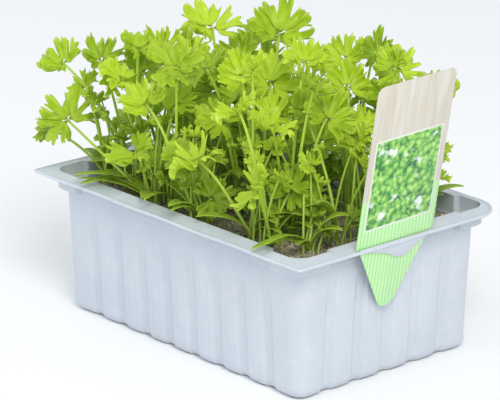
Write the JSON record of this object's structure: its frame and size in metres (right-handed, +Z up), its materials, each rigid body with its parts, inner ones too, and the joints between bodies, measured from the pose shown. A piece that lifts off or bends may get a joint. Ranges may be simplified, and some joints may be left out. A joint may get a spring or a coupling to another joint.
{
  "type": "potted parsley",
  "caption": "Young curled parsley plants in pressed root balls, standing in a fluted plastic market tray with a flat rim and a stick-in label.",
  "frame": {"origin": "centre of the tray's flat base, on the surface that it stands on", "axes": "+Z up, +X along the tray towards the end that carries the label, +Y across it"},
  "size_m": [0.2435, 0.1587, 0.1681],
  "materials": {
    "tray_plastic": "moulded pale blue-grey plastic sheet, satin",
    "soil": "pressed growing medium with pale grains, matt",
    "label_card": "printed plastic sheet, satin gloss",
    "parsley_leaf": "fresh leaf, soft waxy sheen"
  },
  "bodies": {
    "root": {"tray": "tray_plastic", "root_ball_1": "soil", "root_ball_2": "soil", "root_ball_3": "soil", "root_ball_4": "soil", "root_ball_5": "soil", "root_ball_6": "soil", "label": "label_card", "parsley_plant_1": "parsley_leaf", "parsley_plant_2": "parsley_leaf", "parsley_plant_3": "parsley_leaf", "parsley_plant_4": "parsley_leaf", "parsley_plant_5": "parsley_leaf", "parsley_plant_6": "parsley_leaf", "parsley_plant_7": "parsley_leaf", "parsley_plant_8": "parsley_leaf", "parsley_plant_9": "parsley_leaf", "parsley_plant_10": "parsley_leaf", "parsley_plant_11": "parsley_leaf", "parsley_plant_12": "parsley_leaf", "parsley_plant_13": "parsley_leaf", "parsley_plant_14": "parsley_leaf", "parsley_plant_15": "parsley_leaf", "parsley_plant_16": "parsley_leaf", "parsley_plant_17": "parsley_leaf", "parsley_plant_18": "parsley_leaf", "parsley_plant_19": "parsley_leaf", "parsley_plant_20": "parsley_leaf", "parsley_plant_21": "parsley_leaf", "parsley_plant_22": "parsley_leaf", "parsley_plant_23": "parsley_leaf", "parsley_plant_24": "parsley_leaf", "parsley_plant_25": "parsley_leaf", "parsley_plant_26": "parsley_leaf", "parsley_plant_27": "parsley_leaf", "parsley_plant_28": "parsley_leaf", "parsley_plant_29": "parsley_leaf", "parsley_plant_30": "parsley_leaf", "parsley_plant_31": "parsley_leaf", "parsley_plant_32": "parsley_leaf", "parsley_plant_33": "parsley_leaf", "parsley_plant_34": "parsley_leaf", "parsley_plant_35": "parsley_leaf", "parsley_plant_36": "parsley_leaf", "parsley_plant_37": "parsley_leaf", "parsley_plant_38": "parsley_leaf", "parsley_plant_39": "parsley_leaf", "parsley_plant_40": "parsley_leaf", "parsley_plant_41": "parsley_leaf"}
  },
  "joints": []
}
